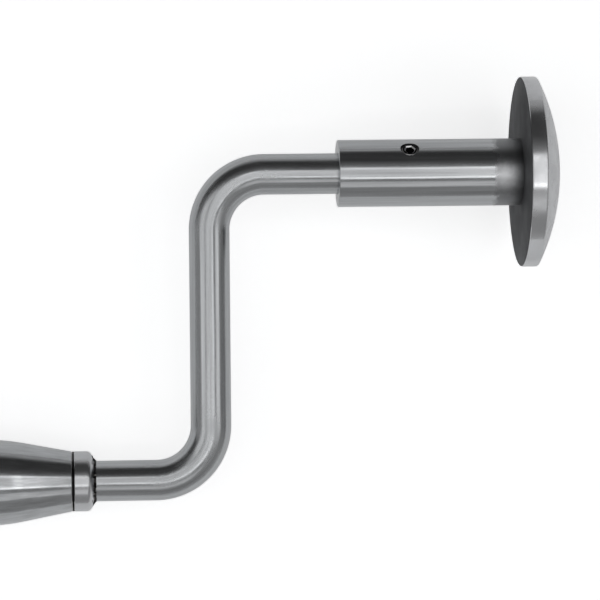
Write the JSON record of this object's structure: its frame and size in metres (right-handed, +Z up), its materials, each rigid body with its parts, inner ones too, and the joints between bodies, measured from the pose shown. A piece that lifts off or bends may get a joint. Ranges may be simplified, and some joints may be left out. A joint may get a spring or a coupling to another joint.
{
  "type": "surgical hand drill",
  "caption": "Steel crank brace for drilling bone by hand: domed palm head that swivels on a bent bar, barrel grip that spins on the crank, and a ball lock chuck with a sliding release collar.",
  "frame": {"origin": "centre of the chuck's mouth, on the drilling axis and in the plane of the chuck's front face", "axes": "+X along the drilling axis from the chuck to the palm head, -Y from the drilling axis to the grip, +Z up, square to the plane of the crank"},
  "size_m": [0.3142, 0.1092, 0.0468],
  "materials": {
    "bar_steel": "bent stainless bar, polished lengthways",
    "polished_steel": "stainless tube, polished lengthways, duller next to the disc",
    "turned_steel": "turned stainless, fine rings round the axis",
    "grip_steel": "turned and polished stainless",
    "collar_steel": "turned and polished stainless",
    "chuck_steel": "turned stainless",
    "knurled_steel": "turned stainless with a knurled band",
    "hardened_steel": "hardened and ground tool steel",
    "bearing_steel": "bearing balls, mirror polished",
    "spring_steel": "drawn spring wire",
    "ring_steel": "stamped spring steel",
    "black_screw": "black oxide on steel",
    "bronze": "sintered bronze",
    "black_washer": "black acetal, moulded"
  },
  "bodies": {
    "crank": {"crank_bar": "bar_steel", "grip_washer_head_side": "black_washer", "grip_washer_chuck_side": "black_washer", "grip_collar_head_side": "collar_steel", "grip_collar_chuck_side": "collar_steel", "chuck_body": "chuck_steel", "driver_insert": "hardened_steel", "chuck_pin": "hardened_steel", "retaining_ring": "ring_steel", "collar_spring": "spring_steel"},
    "head": {"palm_disc": "turned_steel", "head_sleeve": "polished_steel", "sleeve_bush_open_end": "bronze", "sleeve_bush_disc_end": "bronze", "retaining_screw": "black_screw", "thrust_ball": "bearing_steel", "thrust_cup": "hardened_steel"},
    "grip": {"grip_barrel": "grip_steel", "grip_bush_head_side": "bronze", "grip_bush_chuck_side": "bronze"},
    "release": {"release_collar": "knurled_steel"},
    "ball_1": {"locking_ball_1": "bearing_steel"},
    "ball_2": {"locking_ball_2": "bearing_steel"},
    "ball_3": {"locking_ball_3": "bearing_steel"}
  },
  "joints": [
    {"name": "head_swivel", "type": "hinge", "parent": "crank", "child": "head", "pos_m": [0.28, 0, 0], "axis": [1, 0, 0], "continuous": true},
    {"name": "grip_spin", "type": "hinge", "parent": "crank", "child": "grip", "pos_m": [0.156, -0.075, 0], "axis": [1, 0, 0], "continuous": true},
    {"name": "collar_slide", "type": "slide", "parent": "crank", "child": "release", "axis": [1, 0, 0], "range_m": [0, 0.005], "stiffness_N_per_m": 900, "springref_m": -0.008, "deforming": ["collar_spring"]},
    {"name": "ball_1_lift", "type": "slide", "parent": "crank", "child": "ball_1", "axis": [0, 0, 1], "range_m": [0, 0.001]},
    {"name": "ball_2_lift", "type": "slide", "parent": "crank", "child": "ball_2", "axis": [0, -0.866, -0.5], "range_m": [0, 0.001]},
    {"name": "ball_3_lift", "type": "slide", "parent": "crank", "child": "ball_3", "axis": [0, 0.866, -0.5], "range_m": [0, 0.001]}
  ],
  "couplings": [
    {"joint": "ball_1_lift", "follows": "collar_slide", "ratio": 0.2},
    {"joint": "ball_2_lift", "follows": "collar_slide", "ratio": 0.2},
    {"joint": "ball_3_lift", "follows": "collar_slide", "ratio": 0.2}
  ]
}
